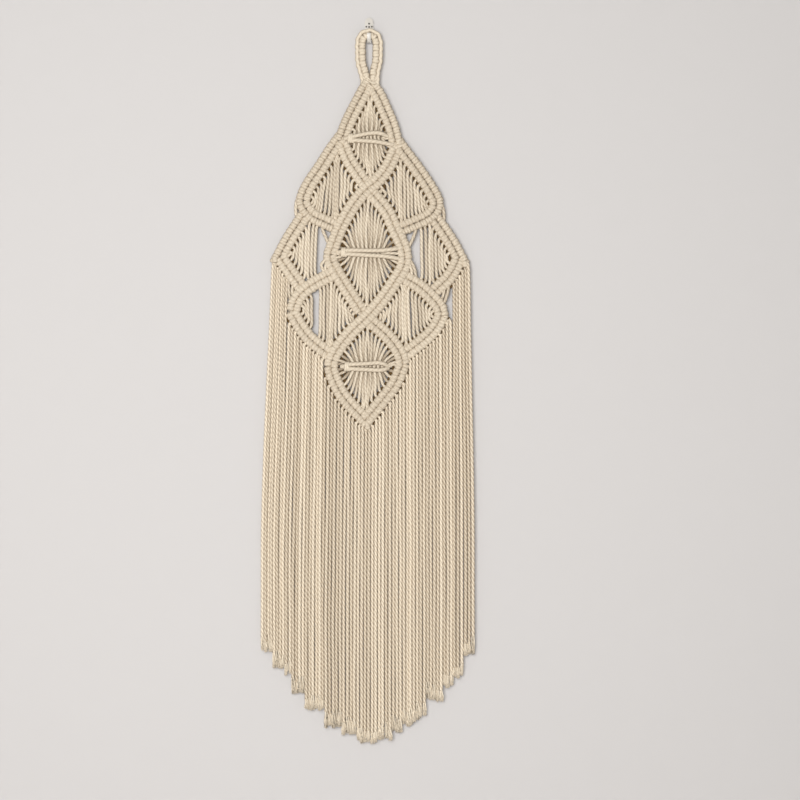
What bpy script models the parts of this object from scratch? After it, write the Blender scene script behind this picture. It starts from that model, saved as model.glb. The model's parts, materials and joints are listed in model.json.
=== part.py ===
"""Macrame wall hanging on a small plastic wall hook.

A loop of knotted cord sits in the hook. Below it a lattice of double half hitch bars, each two knot
rows wide, frames three tall diamonds and the side diamonds, whose cords hang open between the bars.
Three ties gather the cords of the tall diamonds. The lowest knot row of every lower edge carries the
fringe. X is across, +Z is up and the front faces -Y; the origin is on the hook's back face.
"""
import math
from collections import namedtuple

import bmesh
import bpy
from mathutils import Vector

# Sizes in millimetres. Places are (across, down): to the right of the hook, and below it.
MM = 0.001
GAP = 0.3                   # between pieces that touch
CENTRE_OFF_WALL = 8.5       # middle of the knotted work, out from the wall
ROW_WIDTH = 10.0            # one row of double half hitches
KNOT_DEPTH = 5.2            # from a row's middle to its front or back
VALLEY_DEPTH = 3.0          # from the middle to the groove between two rows
KNOT_STEP = 5.8             # half a knot along a row
KNOT_WAIST = 0.86           # a row's size between two knots, of its size at a knot
CORD_WIDTH = 4.4            # one cord, three-sided, with an edge to the front or the back
CORD_DEPTH = 4.2
LAYER = 0.4                 # flat side of the front and the back layer of cords, from the middle
SMOOTH_STEPS = 20           # straight steps between two of a line's points, before it is evened out

# Middle line of each bar that is two knot rows wide: (across, down).
SERPENTINE_LEFT = (
    (-38.5, 153.0), (-29.4, 179.2), (-18.2, 197.4), (-1.4, 219.8), (16.1, 240.8), (30.8, 264.6),
    (43.4, 294.0), (49.3, 317.1), (40.6, 343.0), (23.8, 369.6), (-0.7, 397.6), (-25.2, 422.8),
    (-44.1, 448.0), (-52.8, 470.4),
)
SERPENTINE_RIGHT = (
    (39.2, 163.0), (29.4, 186.9), (15.4, 205.8), (-1.4, 220.5), (-19.6, 242.2), (-35.0, 269.5),
    (-49.7, 298.2), (-53.9, 317.8), (-43.4, 343.0), (-26.6, 369.6), (-1.4, 399.0), (21.0, 422.8),
    (39.2, 445.9), (47.0, 467.6),
)
DOUBLE_BARS = {
    "serpentine_left": SERPENTINE_LEFT,
    "serpentine_right": SERPENTINE_RIGHT,
    "roof_1_left": ((-2.2, 76.9), (-2.2, 82.7), (-18.4, 109.2), (-30.1, 130.9), (-38.5, 155.4)),
    "roof_1_right": ((5.4, 76.9), (5.4, 82.7), (22.6, 114.1), (32.2, 138.6), (39.2, 165.2)),
    "roof_2_left": ((-43.0, 156.0), (-67.2, 192.5), (-83.3, 216.3), (-91.4, 237.4), (-92.4, 249.0)),
    "roof_2_right": ((42.0, 162.0), (63.0, 189.7), (81.2, 216.3), (94.2, 242.0), (96.0, 255.0)),
    "roof_3_left": ((-89.6, 252.0), (-100.8, 275.8), (-114.1, 298.9), (-119.5, 311.0)),
    "roof_3_right": ((93.8, 255.0), (104.3, 282.1), (118.3, 302.0), (124.0, 311.0)),
    "inner_left": ((-92.4, 240.0), (-79.8, 256.2), (-64.4, 266.7), (-40.6, 279.0)),
    "inner_right": ((95.2, 246.0), (81.2, 261.8), (60.2, 272.3), (39.2, 281.0)),
    "cheek_left": ((-46.2, 339.5), (-66.4, 349.2), (-87.8, 362.6), (-102.2, 379.4), (-106.6, 392.0)),
    "cheek_right": ((47.6, 344.4), (65.8, 354.9), (84.0, 370.3), (98.0, 384.3), (101.6, 399.5)),
}
# Lower edges: their inner row belongs to the panel and their outer row carries the fringe.
LOWER_EDGES = {
    "wing_left": ((-128.0, 313.0), (-123.5, 322.0), (-111.3, 336.8), (-95.8, 358.4), (-92.0, 364.0)),
    "wing_right": ((131.5, 312.0), (128.5, 326.0), (112.5, 346.5), (94.5, 362.6), (89.5, 366.5)),
    "side_left": ((-107.1, 394.0), (-97.4, 412.9), (-81.2, 433.3), (-57.5, 452.5)),
    "side_right": ((101.3, 397.0), (91.0, 420.0), (71.4, 438.2), (53.0, 453.0)),
    "tip_left": ((-52.8, 471.0), (-43.4, 499.8), (-26.6, 524.3), (-7.0, 546.0)),
    "tip_right": ((47.0, 468.0), (35.0, 497.0), (15.4, 522.2), (-7.0, 546.0)),
}

# Cords between two bars. Their ends are spread along each bar between two values of "down", and
# a side is the side of the bar that they leave by, -1 to the left and 1 to the right.
CordRow = namedtuple("CordRow", "cords upper upper_side upper_first upper_last "
                                "lower lower_side lower_first lower_last")
SIDE_CORDS = (
    (8, "roof_2_left", 1, 172, 230, "inner_left", 1, 274, 247),
    (6, "serpentine_left", -1, 176, 206, "serpentine_right", -1, 270, 236),
    (8, "roof_2_right", -1, 178, 236, "inner_right", -1, 276, 252),
    (6, "serpentine_right", 1, 182, 208, "serpentine_left", 1, 270, 238),
    (6, "roof_3_left", 1, 266, 306, "wing_left", 1, 352, 329),
    (4, "inner_left", -1, 268, 257, "cheek_left", -1, 347, 362),
    (6, "roof_3_right", -1, 268, 308, "wing_right", -1, 354, 331),
    (4, "inner_right", 1, 273, 260, "cheek_right", 1, 353, 373),
    (7, "cheek_left", 1, 352, 388, "side_left", 1, 446, 402),
    (6, "serpentine_right", -1, 346, 386, "serpentine_left", -1, 446, 410),
    (7, "cheek_right", -1, 356, 390, "side_right", -1, 447, 406),
    (6, "serpentine_left", 1, 346, 386, "serpentine_right", 1, 444, 410),
)
# Half diamonds whose cords run in under a tie, with the same columns and the place of their waist.
GatheredRow = namedtuple("GatheredRow", CordRow._fields + ("waist_down", "waist_middle", "waist_pitch"))
GATHERED_CORDS = (
    (7, "roof_1_left", 1, 90, 143, "serpentine_left", 1, 211, 174, 152, -1.5, 2.3),
    (7, "roof_1_right", -1, 90, 147, "serpentine_right", -1, 213, 180, 152, -1.5, 2.3),
    (9, "serpentine_right", 1, 236, 309, "serpentine_right", 1, 388, 325, 312, -2.0, 2.6),
    (9, "serpentine_left", -1, 236, 309, "serpentine_left", -1, 388, 325, 312, -2.0, 2.6),
    (8, "serpentine_left", 1, 412, 460, "tip_left", 1, 534, 481, 471, -2.5, 2.8),
    (8, "serpentine_right", -1, 412, 457, "tip_right", -1, 534, 478, 471, -2.5, 2.8),
)
GATHER_BEND = 0.55          # a gathered cord bends at this part of its way to the waist
GATHER_PULL = 0.2           # and is nearer to the waist's middle there, by this part of its way across

# Ties: two cords in front and one behind, from a lump at the left, all (across, down).
Tie = namedtuple("Tie", "left lump upper_right lower_right")
TIES = (
    ((-36.0, 152.0), (-25.0, 152.5), (34.0, 147.0), (37.5, 162.0)),
    ((-50.0, 311.5), (-35.0, 311.0), (46.0, 308.0), (46.5, 322.0)),
    ((-48.5, 467.0), (-32.0, 470.5), (43.0, 463.0), (42.5, 476.0)),
)
TIE_RADIUS = 2.1            # corner radius of a tie's four-sided cord in front
TIE_BACK_RADIUS = 1.6       # and behind
TIE_FRONT = 7.1             # middle of a tie's cords, in front of the panel's middle
TIE_BACK = 6.7              # and behind it
TIE_SEAT = 3.0              # where its ends go into the bars
TIE_RISE = 7.0              # across, from its left end to where it lies on the cords
TIE_FALL = 12.0             # the same at its right end
TIE_SPREAD = 2.4            # between its two front cords and its middle
TIE_FAN = 0.4               # how far the two have parted where they leave the gathered cords
LUMP_SWELL = 1.5            # its cords swell to this at the lump
LUMP_END = 0.5              # and are thin again at this part of the lump's distance across

# Fringe: its cords are spread across at the knots and at their cut ends.
Fringe = namedtuple("Fringe", "node edges cords top_first top_last end_first end_last")
FRINGES = (
    ("fringe_wing_left", ("wing_left",), 6, -135.8, -115.0, -149.0, -124.0),
    ("fringe_side_left", ("side_left",), 11, -111.0, -66.5, -119.0, -70.0),
    ("fringe_tip", ("tip_left", "tip_right"), 25, -59.0, 53.0, -65.0, 53.5),
    ("fringe_side_right", ("side_right",), 12, 58.0, 106.0, 58.5, 110.0),
    ("fringe_wing_right", ("wing_right",), 7, 114.0, 138.5, 115.0, 145.5),
)
FRINGE_BENDS = (0.08, 0.3, 0.65, 1.0)   # places along a fringe cord where it may bend
FRINGE_DRIFT = 1.6          # how fast a cord leaves its knot's place for its end's place across
FRINGE_SWAY = 1.0           # how far it sways to each side
FRINGE_WAVE = 9.0           # radians of sway along a cord
FRINGE_WAVE_SHIFT = 0.02    # and for each millimetre across
RAGGED = 6.0                # how unevenly the ends are cut
RAGGED_TURN = 2.4           # radians from one cord's end to the next one's
TIP_DROP = 7.5              # the fringe's row at the tip, below the tip of the panel's rows
FRINGE_END = (  # ragged lower outline of the fringe: (across, down)
    (-151.0, 865.0), (-132.0, 893.0), (-115.0, 903.0), (-104.0, 924.0), (-90.0, 945.0),
    (-62.0, 969.0), (-34.0, 980.0), (-15.0, 987.0), (-3.0, 997.0), (22.0, 994.0), (36.0, 984.0),
    (71.0, 966.0), (78.0, 938.0), (99.0, 935.0), (113.0, 917.0), (130.0, 907.0), (133.0, 882.0),
    (147.0, 875.0),
)

# Hanging loop: middle line of the knotted cord, (across, down).
LOOP_PATH = (
    (-4.3, 76.0), (-4.3, 70.0), (-7.8, 57.0), (-11.0, 45.0), (-11.5, 30.0), (-11.4, 17.0),
    (-8.1, 8.9), (0.1, 5.6), (8.4, 8.9), (11.7, 17.0), (11.8, 30.0), (11.2, 45.0), (8.2, 57.0),
    (7.3, 70.0), (7.3, 76.0),
)
LOOP_NECK = ((1.5, 62.0), (1.5, 75.8))
LOOP_WIDTH = 15.0
LOOP_DEPTH = 9.2
LOOP_CREST = 0.6            # the flat middle of its section, of its width
LOOP_KNOT_STEP = 4.3
NECK_WAIST = 0.9

# Wall hook.
PLATE_WIDTH = 12.0
PLATE_TOP = 18.2
PLATE_BOTTOM = -9.0
PLATE_THICKNESS = 3.0
PRONG_WIDTH = 5.2
PRONG_THICKNESS = 2.6
PRONG_ARC_TOP = -8.0        # height where the J starts to curve
PRONG_INSIDE_BOTTOM = -13.9
PRONG_OUTSIDE_BOTTOM = -18.2
PRONG_TIP = -5.2
ARC_STEP = 18.0             # degrees between the points of its round edges
PIN_PLACES = ((-3.9, 5.6), (3.9, 5.6), (0.0, 9.8), (0.0, 5.2))   # (across, up)
PIN_SIDES = 12
PIN_HEAD_RADIUS = 1.2
PIN_HEAD_THICKNESS = 0.9


def clear_scene():
    for old in list(bpy.data.objects):
        bpy.data.objects.remove(old, do_unlink=True)


def new_collection(name):
    collection = bpy.data.collections.new(name)
    bpy.context.scene.collection.children.link(collection)
    return collection


def make_material(name, colour, roughness, metallic=0.0):
    material = bpy.data.materials.new(name)
    material.use_nodes = True
    shader = material.node_tree.nodes["Principled BSDF"]
    shader.inputs["Base Color"].default_value = (*colour, 1.0)
    shader.inputs["Roughness"].default_value = roughness
    shader.inputs["Metallic"].default_value = metallic
    return material


def smooth_line(points, spacing):
    """Even points, about `spacing` apart, on a smooth curve through `points`."""
    nodes = [Vector(point) for point in points]
    nodes = [2 * nodes[0] - nodes[1]] + nodes + [2 * nodes[-1] - nodes[-2]]
    fine = []
    for a, b, c, d in zip(nodes, nodes[1:], nodes[2:], nodes[3:]):
        for step in range(SMOOTH_STEPS):
            t = step / SMOOTH_STEPS
            fine.append(0.5 * (2 * b + (c - a) * t + (2 * a - 5 * b + 4 * c - d) * t ** 2
                               + (3 * b - a - 3 * c + d) * t ** 3))
    fine.append(nodes[-2])
    lengths = [0.0]
    for here, there in zip(fine, fine[1:]):
        lengths.append(lengths[-1] + (there - here).length)
    count = max(2, round(lengths[-1] / spacing))
    even = []
    segment = 0
    for index in range(count + 1):
        target = lengths[-1] * index / count
        while segment < len(fine) - 2 and lengths[segment + 1] < target:
            segment += 1
        part = (target - lengths[segment]) / (lengths[segment + 1] - lengths[segment])
        even.append(fine[segment].lerp(fine[segment + 1], part))
    return even


def side_directions(line):
    """For each point of a (across, down) line that runs down, the direction to its right side."""
    directions = []
    for index in range(len(line)):
        before = line[max(index - 1, 0)]
        after = line[min(index + 1, len(line) - 1)]
        along = (after - before).normalized()
        directions.append(Vector((along.y, -along.x)))
    return directions


def offset_line(line, distance):
    return [point + side * distance for point, side in zip(line, side_directions(line))]


def place_at_down(line, down):
    """The point of a line that runs down, at a given value of "down"."""
    for here, there in zip(line, line[1:]):
        if here.y <= down <= there.y:
            return here.lerp(there, (down - here.y) / (there.y - here.y))
    return line[0] if down < line[0].y else line[-1]


def place_at_across(line, across):
    """The point of a line that runs left to right or back, at a given value of "across"."""
    for here, there in zip(line, line[1:]):
        low, high = sorted((here.x, there.x))
        if low <= across <= high and high > low:
            return here.lerp(there, (across - here.x) / (there.x - here.x))
    return min(line, key=lambda point: abs(point.x - across))


def spline_object(name, collection, dimensions):
    curve = bpy.data.curves.new(name, "CURVE")
    curve.dimensions = dimensions
    curve.fill_mode = "FULL" if dimensions == "3D" else "NONE"
    curve.use_fill_caps = True
    curve.bevel_resolution = 0
    obj = bpy.data.objects.new(name, curve)
    collection.objects.link(obj)
    return obj


def add_spline(obj, points, radii=None, cyclic=False):
    """A straight-sided spline through three-number points in millimetres."""
    spline = obj.data.splines.new("POLY")
    spline.points.add(len(points) - 1)
    for index, point in enumerate(points):
        spline.points[index].co = (point[0] * MM, point[1] * MM, point[2] * MM, 1.0)
        spline.points[index].radius = radii[index] if radii else 1.0
    spline.use_cyclic_u = cyclic


def section_outline(name, corners, collection):
    """A closed outline that a knot row is swept with: (across the row, out from the wall)."""
    outline = spline_object(name, collection, "2D")
    add_spline(outline, [(x, y, 0.0) for x, y in corners], cyclic=True)
    hide_helper(outline)
    return outline


def hide_helper(obj):
    obj.hide_render = True
    obj.display_type = "WIRE"


def add_knot_row(obj, line, waist=KNOT_WAIST):
    """Sweep along a line, wide at each knot and narrow between knots."""
    radii = [1.0 if index % 2 else waist for index in range(len(line))]
    add_spline(obj, [(point.x, -point.y, 0.0) for point in line], radii)


def sweep_object(name, outline, collection):
    """A curve that lies in the plane of the panel and is swept with an outline."""
    obj = spline_object(name, collection, "2D")
    obj.data.bevel_mode = "OBJECT"
    obj.data.bevel_object = outline
    obj.rotation_euler = (math.radians(90), 0.0, 0.0)
    obj.location = (0.0, -CENTRE_OFF_WALL * MM, 0.0)
    return obj


def cord_object(name, radius, collection):
    obj = spline_object(name, collection, "3D")
    obj.data.bevel_depth = radius * MM
    return obj


def add_tie_cord(obj, places, radii=None):
    """A four-sided cord through (across, down, out from the panel's middle)."""
    add_spline(obj, [(across, -CENTRE_OFF_WALL - out, -down) for across, down, out in places], radii)


def layer_objects(name, outlines, collection):
    """Sweeps for a front and a back layer of hanging cords, each flat towards the other."""
    layers = []
    for label, outline in zip(("front", "back"), outlines):
        layers.append(sweep_object(f"{name}_{label}", outline, collection))
    return layers


def add_cord(obj, places):
    add_spline(obj, [(place[0], -place[1], 0.0) for place in places])


def as_mesh(obj, collection, material=None):
    """Turn a curve into a mesh object of the same name, with its caps welded."""
    bpy.context.view_layer.update()
    evaluated = obj.evaluated_get(bpy.context.evaluated_depsgraph_get())
    mesh = bpy.data.meshes.new_from_object(evaluated)
    work = bmesh.new()
    work.from_mesh(mesh)
    bmesh.ops.remove_doubles(work, verts=work.verts, dist=0.01 * MM)
    bmesh.ops.recalc_face_normals(work, faces=work.faces)
    work.to_mesh(mesh)
    work.free()
    name = obj.name
    matrix = obj.matrix_world.copy()
    bpy.data.objects.remove(obj, do_unlink=True)
    solid = bpy.data.objects.new(name, mesh)
    solid.matrix_world = matrix
    mesh.materials.clear()
    if material:
        mesh.materials.append(material)
    collection.objects.link(solid)
    return solid


def boolean(obj, other, operation, overlapping=False):
    modifier = obj.modifiers.new(operation.title(), "BOOLEAN")
    modifier.operation = operation
    modifier.solver = "EXACT"
    modifier.use_self = overlapping
    modifier.object = other
    hide_helper(other)


def make_outlines(helpers):
    """Outlines of a bar two rows wide, one row, the room kept round a fringe's row, and cords."""
    outer = ROW_WIDTH
    crest = ROW_WIDTH / 2
    double = ((-outer, 0.0), (-crest, KNOT_DEPTH), (0.0, VALLEY_DEPTH), (crest, KNOT_DEPTH),
              (outer, 0.0), (crest, -KNOT_DEPTH), (-crest, -KNOT_DEPTH))
    half = ROW_WIDTH / 2 - GAP
    top = ROW_WIDTH / 4
    single = ((-half, 0.0), (-top, KNOT_DEPTH), (top, KNOT_DEPTH),
              (half, 0.0), (top, -KNOT_DEPTH), (-top, -KNOT_DEPTH))
    room = tuple((x * (1 + GAP / half), y * (1 + GAP / KNOT_DEPTH)) for x, y in single)
    side = CORD_WIDTH / 2
    tip = LAYER + CORD_DEPTH
    front = ((-side, LAYER), (side, LAYER), (0.0, tip))
    back = ((-side, -LAYER), (0.0, -tip), (side, -LAYER))
    return {
        "double": section_outline("double_row_outline", double, helpers),
        "single": section_outline("single_row_outline", single, helpers),
        "room": section_outline("row_room_outline", room, helpers),
        "cords": (section_outline("front_cord_outline", front, helpers),
                  section_outline("back_cord_outline", back, helpers)),
    }


def cord_ends(lines, row):
    """Where each cord of a row leaves its upper bar and enters its lower bar."""
    upper = offset_line(lines[row.upper], row.upper_side * ROW_WIDTH / 2)
    lower = offset_line(lines[row.lower], row.lower_side * ROW_WIDTH / 2)
    starts = spread(row.upper_first, row.upper_last, row.cords)
    ends = spread(row.lower_first, row.lower_last, row.cords)
    return [(place_at_down(upper, start), place_at_down(lower, end)) for start, end in zip(starts, ends)]


def gathered_places(start, waist, end):
    """Leave the upper bar steeply, run in to the waist and out again to the lower bar."""
    high = start.lerp(waist, GATHER_BEND) + Vector((waist.x - start.x, 0.0)) * GATHER_PULL
    low = end.lerp(waist, GATHER_BEND) + Vector((waist.x - end.x, 0.0)) * GATHER_PULL
    return start, high, waist, low, end


def spread(first, last, count):
    return [first + (last - first) * index / max(count - 1, 1) for index in range(count)]


def build_panel_cords(lines, outlines, helpers):
    """The cords that hang between the bars, in two layers."""
    layers = layer_objects("panel_cords", outlines["cords"], helpers)
    for number, row in enumerate(CordRow(*columns) for columns in SIDE_CORDS):
        for index, ends in enumerate(cord_ends(lines, row)):
            add_cord(layers[(index + number) % 2], ends)
    for number, row in enumerate(GatheredRow(*columns) for columns in GATHERED_CORDS):
        for index, (start, end) in enumerate(cord_ends(lines, row)):
            from_middle = (index + 0.5) * row.waist_pitch
            waist = Vector((row.waist_middle - row.upper_side * from_middle, row.waist_down))
            add_cord(layers[(index + number) % 2], gathered_places(start, waist, end))
    return layers


def build_ties(helpers):
    """Two cords across the front of each gathered bundle and one across its back."""
    front = cord_object("ties_front", TIE_RADIUS, helpers)
    back = cord_object("ties_back", TIE_BACK_RADIUS, helpers)
    swell = (1.0, 1.0, LUMP_SWELL, 1.0, 1.0, 1.0)
    for tie in (Tie(*columns) for columns in TIES):
        left_across, left_down = tie.left
        lump_across, lump_down = tie.lump
        for (across, down), spread_down in ((tie.upper_right, -TIE_SPREAD), (tie.lower_right, TIE_SPREAD)):
            level = lump_down + spread_down
            add_tie_cord(front, (
                (left_across, left_down + spread_down, TIE_SEAT),
                (left_across + TIE_RISE, level, TIE_FRONT),
                (lump_across, level, TIE_FRONT), (lump_across * LUMP_END, level, TIE_FRONT),
                (across - TIE_FALL, level + (down - level) * TIE_FAN, TIE_FRONT),
                (across, down, TIE_SEAT)), swell)
        middle_down = (tie.upper_right[1] + tie.lower_right[1]) / 2
        add_tie_cord(back, (
            (left_across, left_down, -TIE_SEAT), (left_across + TIE_RISE, lump_down, -TIE_BACK),
            (tie.upper_right[0] - TIE_FALL, lump_down, -TIE_BACK),
            (tie.upper_right[0], middle_down, -TIE_SEAT)))
    return front, back


def build_panel(parts, helpers, outlines, cotton):
    """Bars, cords between the bars and ties, fused into one solid."""
    doubles = sweep_object("knotted_panel", outlines["double"], parts)
    lines = {}
    for name, points in DOUBLE_BARS.items():
        lines[name] = smooth_line(points, KNOT_STEP)
        add_knot_row(doubles, lines[name])
    singles = sweep_object("inner_rows", outlines["single"], helpers)
    room = sweep_object("fringe_row_room", outlines["room"], helpers)
    for name, points in LOWER_EDGES.items():
        lines[name] = smooth_line(points, KNOT_STEP)
        inner = 1 if name.endswith("left") else -1
        add_knot_row(singles, offset_line(lines[name], inner * ROW_WIDTH / 2))
    for fringe in (Fringe(*columns) for columns in FRINGES):
        add_knot_row(room, outer_row(lines, fringe.edges), waist=1.0)

    panel = as_mesh(doubles, parts, cotton)
    for extra in (singles, *build_panel_cords(lines, outlines, helpers), *build_ties(helpers)):
        boolean(panel, as_mesh(extra, helpers), "UNION", overlapping=True)
    boolean(panel, as_mesh(room, helpers), "DIFFERENCE")
    return lines


def outer_row(lines, edges):
    """Middle line of the knot row that carries a fringe, from left to right."""
    if len(edges) == 1:
        outer = -1 if edges[0].endswith("left") else 1
        return offset_line(lines[edges[0]], outer * ROW_WIDTH / 2)
    left = offset_line(lines[edges[0]], -ROW_WIDTH / 2)[:-1]
    right = offset_line(lines[edges[1]], ROW_WIDTH / 2)[:-1]
    tip = lines[edges[0]][-1] + Vector((0.0, TIP_DROP))
    return left + [tip] + right[::-1]


def fringe_end_at(across):
    places = [Vector(place) for place in FRINGE_END]
    return place_at_across(places, across).y


def build_fringes(parts, helpers, outlines, lines, cotton):
    """Each fringe: its knot row, parted from the panel, and the cords that hang from it."""
    for fringe in (Fringe(*columns) for columns in FRINGES):
        row_line = outer_row(lines, fringe.edges)
        row = sweep_object(fringe.node, outlines["single"], parts)
        add_knot_row(row, row_line)
        layers = layer_objects(fringe.node + "_cords", outlines["cords"], helpers)
        tops = spread(fringe.top_first, fringe.top_last, fringe.cords)
        ends = spread(fringe.end_first, fringe.end_last, fringe.cords)
        for index, (across, end_across) in enumerate(zip(tops, ends)):
            top = place_at_across(row_line, across).y
            end = fringe_end_at(end_across) + RAGGED * math.sin(index * RAGGED_TURN)
            places = [(across, top)]
            for part in FRINGE_BENDS:
                drift = (end_across - across) * min(1.0, part * FRINGE_DRIFT)
                sway = FRINGE_SWAY * math.sin(FRINGE_WAVE * part + across * FRINGE_WAVE_SHIFT)
                places.append((across + drift + sway, top + (end - top) * part))
            add_cord(layers[index % 2], places)
        solid = as_mesh(row, parts, cotton)
        for layer in layers:
            boolean(solid, as_mesh(layer, helpers), "UNION")


def build_loop(parts, helpers, cotton):
    """The loop that hangs in the hook: one knotted cord, bent over, with its ends side by side."""
    half = LOOP_WIDTH / 2
    crest = half * LOOP_CREST
    front = LOOP_DEPTH / 2
    outline = section_outline("loop_outline", (
        (-half, 0.0), (-crest, front), (crest, front), (half, 0.0), (crest, -front), (-crest, -front)),
        helpers)
    loop = sweep_object("hanging_loop", outline, parts)
    add_knot_row(loop, smooth_line(LOOP_PATH, LOOP_KNOT_STEP))
    neck = sweep_object("loop_neck", outline, helpers)
    add_knot_row(neck, [Vector(place) for place in LOOP_NECK], waist=NECK_WAIST)
    solid = as_mesh(loop, parts, cotton)
    boolean(solid, as_mesh(neck, helpers), "UNION", overlapping=True)


def arc(centre_x, centre_y, radius_x, radius_y, start, end):
    """Points on an ellipse between two angles in degrees."""
    steps = round(abs(end - start) / ARC_STEP)
    points = []
    for index in range(steps + 1):
        angle = math.radians(start + (end - start) * index / steps)
        points.append((centre_x + radius_x * math.cos(angle), centre_y + radius_y * math.sin(angle)))
    return points


def flat_piece(name, outline, thickness, collection):
    obj = spline_object(name, collection, "2D")
    obj.data.fill_mode = "BOTH"
    obj.data.extrude = thickness / 2 * MM
    add_spline(obj, [(x, y, 0.0) for x, y in outline], cyclic=True)
    return obj


def build_hook(parts, helpers, plastic, steel):
    """A round-topped plate with a J below it, and the heads of its pins."""
    half = PLATE_WIDTH / 2
    outline = arc(0.0, PLATE_TOP - half, half, half, 0, 180)
    outline += [(-half, PLATE_BOTTOM), (half, PLATE_BOTTOM)]
    plate = flat_piece("hook_plate", outline, PLATE_THICKNESS, parts)
    plate.rotation_euler = (math.radians(90), 0.0, 0.0)
    plate.location = (0.0, -PLATE_THICKNESS / 2 * MM, 0.0)

    inside = CENTRE_OFF_WALL - PLATE_THICKNESS
    middle = PLATE_THICKNESS + inside
    lip_front = middle + inside + PRONG_THICKNESS
    drop_out = PRONG_ARC_TOP - PRONG_OUTSIDE_BOTTOM
    drop_in = PRONG_ARC_TOP - PRONG_INSIDE_BOTTOM
    reach = lip_front / 2
    tip = PRONG_THICKNESS / 2
    side = [(0.0, 0.0)]
    side += arc(reach, PRONG_ARC_TOP, reach, drop_out, 180, 360)
    side += arc(lip_front - tip, PRONG_TIP - tip, tip, tip, 0, 180)
    side += arc(middle, PRONG_ARC_TOP, inside, drop_in, 360, 180)
    side += [(PLATE_THICKNESS, 0.0)]
    prong = flat_piece("prong", side, PRONG_WIDTH, helpers)
    # The side outline's first number runs out from the wall: turn it to face -Y.
    prong.rotation_euler = (math.radians(90), 0.0, math.radians(-90))
    solid = as_mesh(plate, parts, plastic)
    boolean(solid, as_mesh(prong, helpers), "UNION")

    for index, (across, up) in enumerate(PIN_PLACES):
        out = PLATE_THICKNESS + GAP + PIN_HEAD_THICKNESS / 2
        bpy.ops.mesh.primitive_cylinder_add(
            vertices=PIN_SIDES, radius=PIN_HEAD_RADIUS * MM, depth=PIN_HEAD_THICKNESS * MM,
            location=(across * MM, -out * MM, up * MM), rotation=(math.radians(90), 0.0, 0.0))
        pin = bpy.context.active_object
        pin.name = f"hook_pin_{index + 1}"
        for owner in list(pin.users_collection):
            owner.objects.unlink(pin)
        parts.objects.link(pin)
        pin.data.materials.append(steel)


def main():
    clear_scene()
    parts = new_collection("macrame_wall_hanging")
    helpers = new_collection("helpers")
    cotton = make_material("cotton_cord", (0.80, 0.72, 0.60), 0.9)
    plastic = make_material("white_plastic", (0.86, 0.85, 0.83), 0.4)
    steel = make_material("pin_steel", (0.30, 0.28, 0.25), 0.35, 1.0)
    outlines = make_outlines(helpers)
    lines = build_panel(parts, helpers, outlines, cotton)
    build_fringes(parts, helpers, outlines, lines, cotton)
    build_loop(parts, helpers, cotton)
    build_hook(parts, helpers, plastic, steel)


main()
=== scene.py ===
"""A macrame wall hanging on its small plastic hook, cord by cord.

Lengths in the tables are millimetres. Places on the hanging are (across, down): to the right of the
hook and below it. In Blender X is across, +Z is up and the front faces -Y.
"""
import json
import math
from collections import namedtuple

import bmesh
import bpy
import numpy as np
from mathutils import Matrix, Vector

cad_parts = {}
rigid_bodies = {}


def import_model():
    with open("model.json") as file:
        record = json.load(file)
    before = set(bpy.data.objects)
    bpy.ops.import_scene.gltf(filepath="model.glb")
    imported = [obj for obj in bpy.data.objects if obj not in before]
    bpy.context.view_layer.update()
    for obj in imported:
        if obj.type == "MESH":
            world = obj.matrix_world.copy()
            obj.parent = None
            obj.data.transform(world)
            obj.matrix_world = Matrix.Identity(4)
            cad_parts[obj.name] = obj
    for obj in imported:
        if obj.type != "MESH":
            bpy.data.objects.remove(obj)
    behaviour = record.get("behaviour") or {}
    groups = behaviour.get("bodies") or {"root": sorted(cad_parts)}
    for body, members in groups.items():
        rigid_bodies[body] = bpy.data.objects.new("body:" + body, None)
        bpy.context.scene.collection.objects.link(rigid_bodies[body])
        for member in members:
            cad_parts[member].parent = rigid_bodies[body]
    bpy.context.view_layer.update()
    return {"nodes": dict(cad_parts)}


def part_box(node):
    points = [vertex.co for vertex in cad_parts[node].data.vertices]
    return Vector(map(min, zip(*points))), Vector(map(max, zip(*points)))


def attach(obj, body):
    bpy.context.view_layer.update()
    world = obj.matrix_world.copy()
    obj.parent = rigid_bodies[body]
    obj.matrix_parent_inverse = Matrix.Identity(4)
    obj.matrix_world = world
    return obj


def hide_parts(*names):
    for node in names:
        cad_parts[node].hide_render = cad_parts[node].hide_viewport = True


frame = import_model()


# Hook plate. A white injection-moulded plate with a J-shaped prong in one piece, flat at the back.
# Its edges are slightly rounded, and its skin has the faint orange peel of a glossy moulding.

MM = 0.001
PLATE_EDGE = 0.35 * MM
PLATE_WHITE = (0.63, 0.605, 0.57, 1.0)


def new_object(name, data):
    thing = bpy.data.objects.new(name, data)
    bpy.context.scene.collection.objects.link(thing)
    return thing


def new_material(name):
    """A material, its nodes and links, and its main shader."""
    material = bpy.data.materials.new(name)
    material.use_nodes = True
    tree = material.node_tree
    return material, tree.nodes, tree.links, tree.nodes["Principled BSDF"]


plate = new_object("hook_plate_moulding", frame["nodes"]["hook_plate"].data.copy())
work = bmesh.new()
work.from_mesh(plate.data)
bmesh.ops.remove_doubles(work, verts=work.verts, dist=0.002 * MM)
bmesh.ops.dissolve_limit(work, angle_limit=math.radians(1), verts=work.verts, edges=work.edges)
work.to_mesh(plate.data)
work.free()
rounding = plate.modifiers.new("Rounded edges", "BEVEL")
rounding.width = PLATE_EDGE
rounding.segments = 2
rounding.angle_limit = math.radians(40)
plate.data.shade_smooth()

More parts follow.
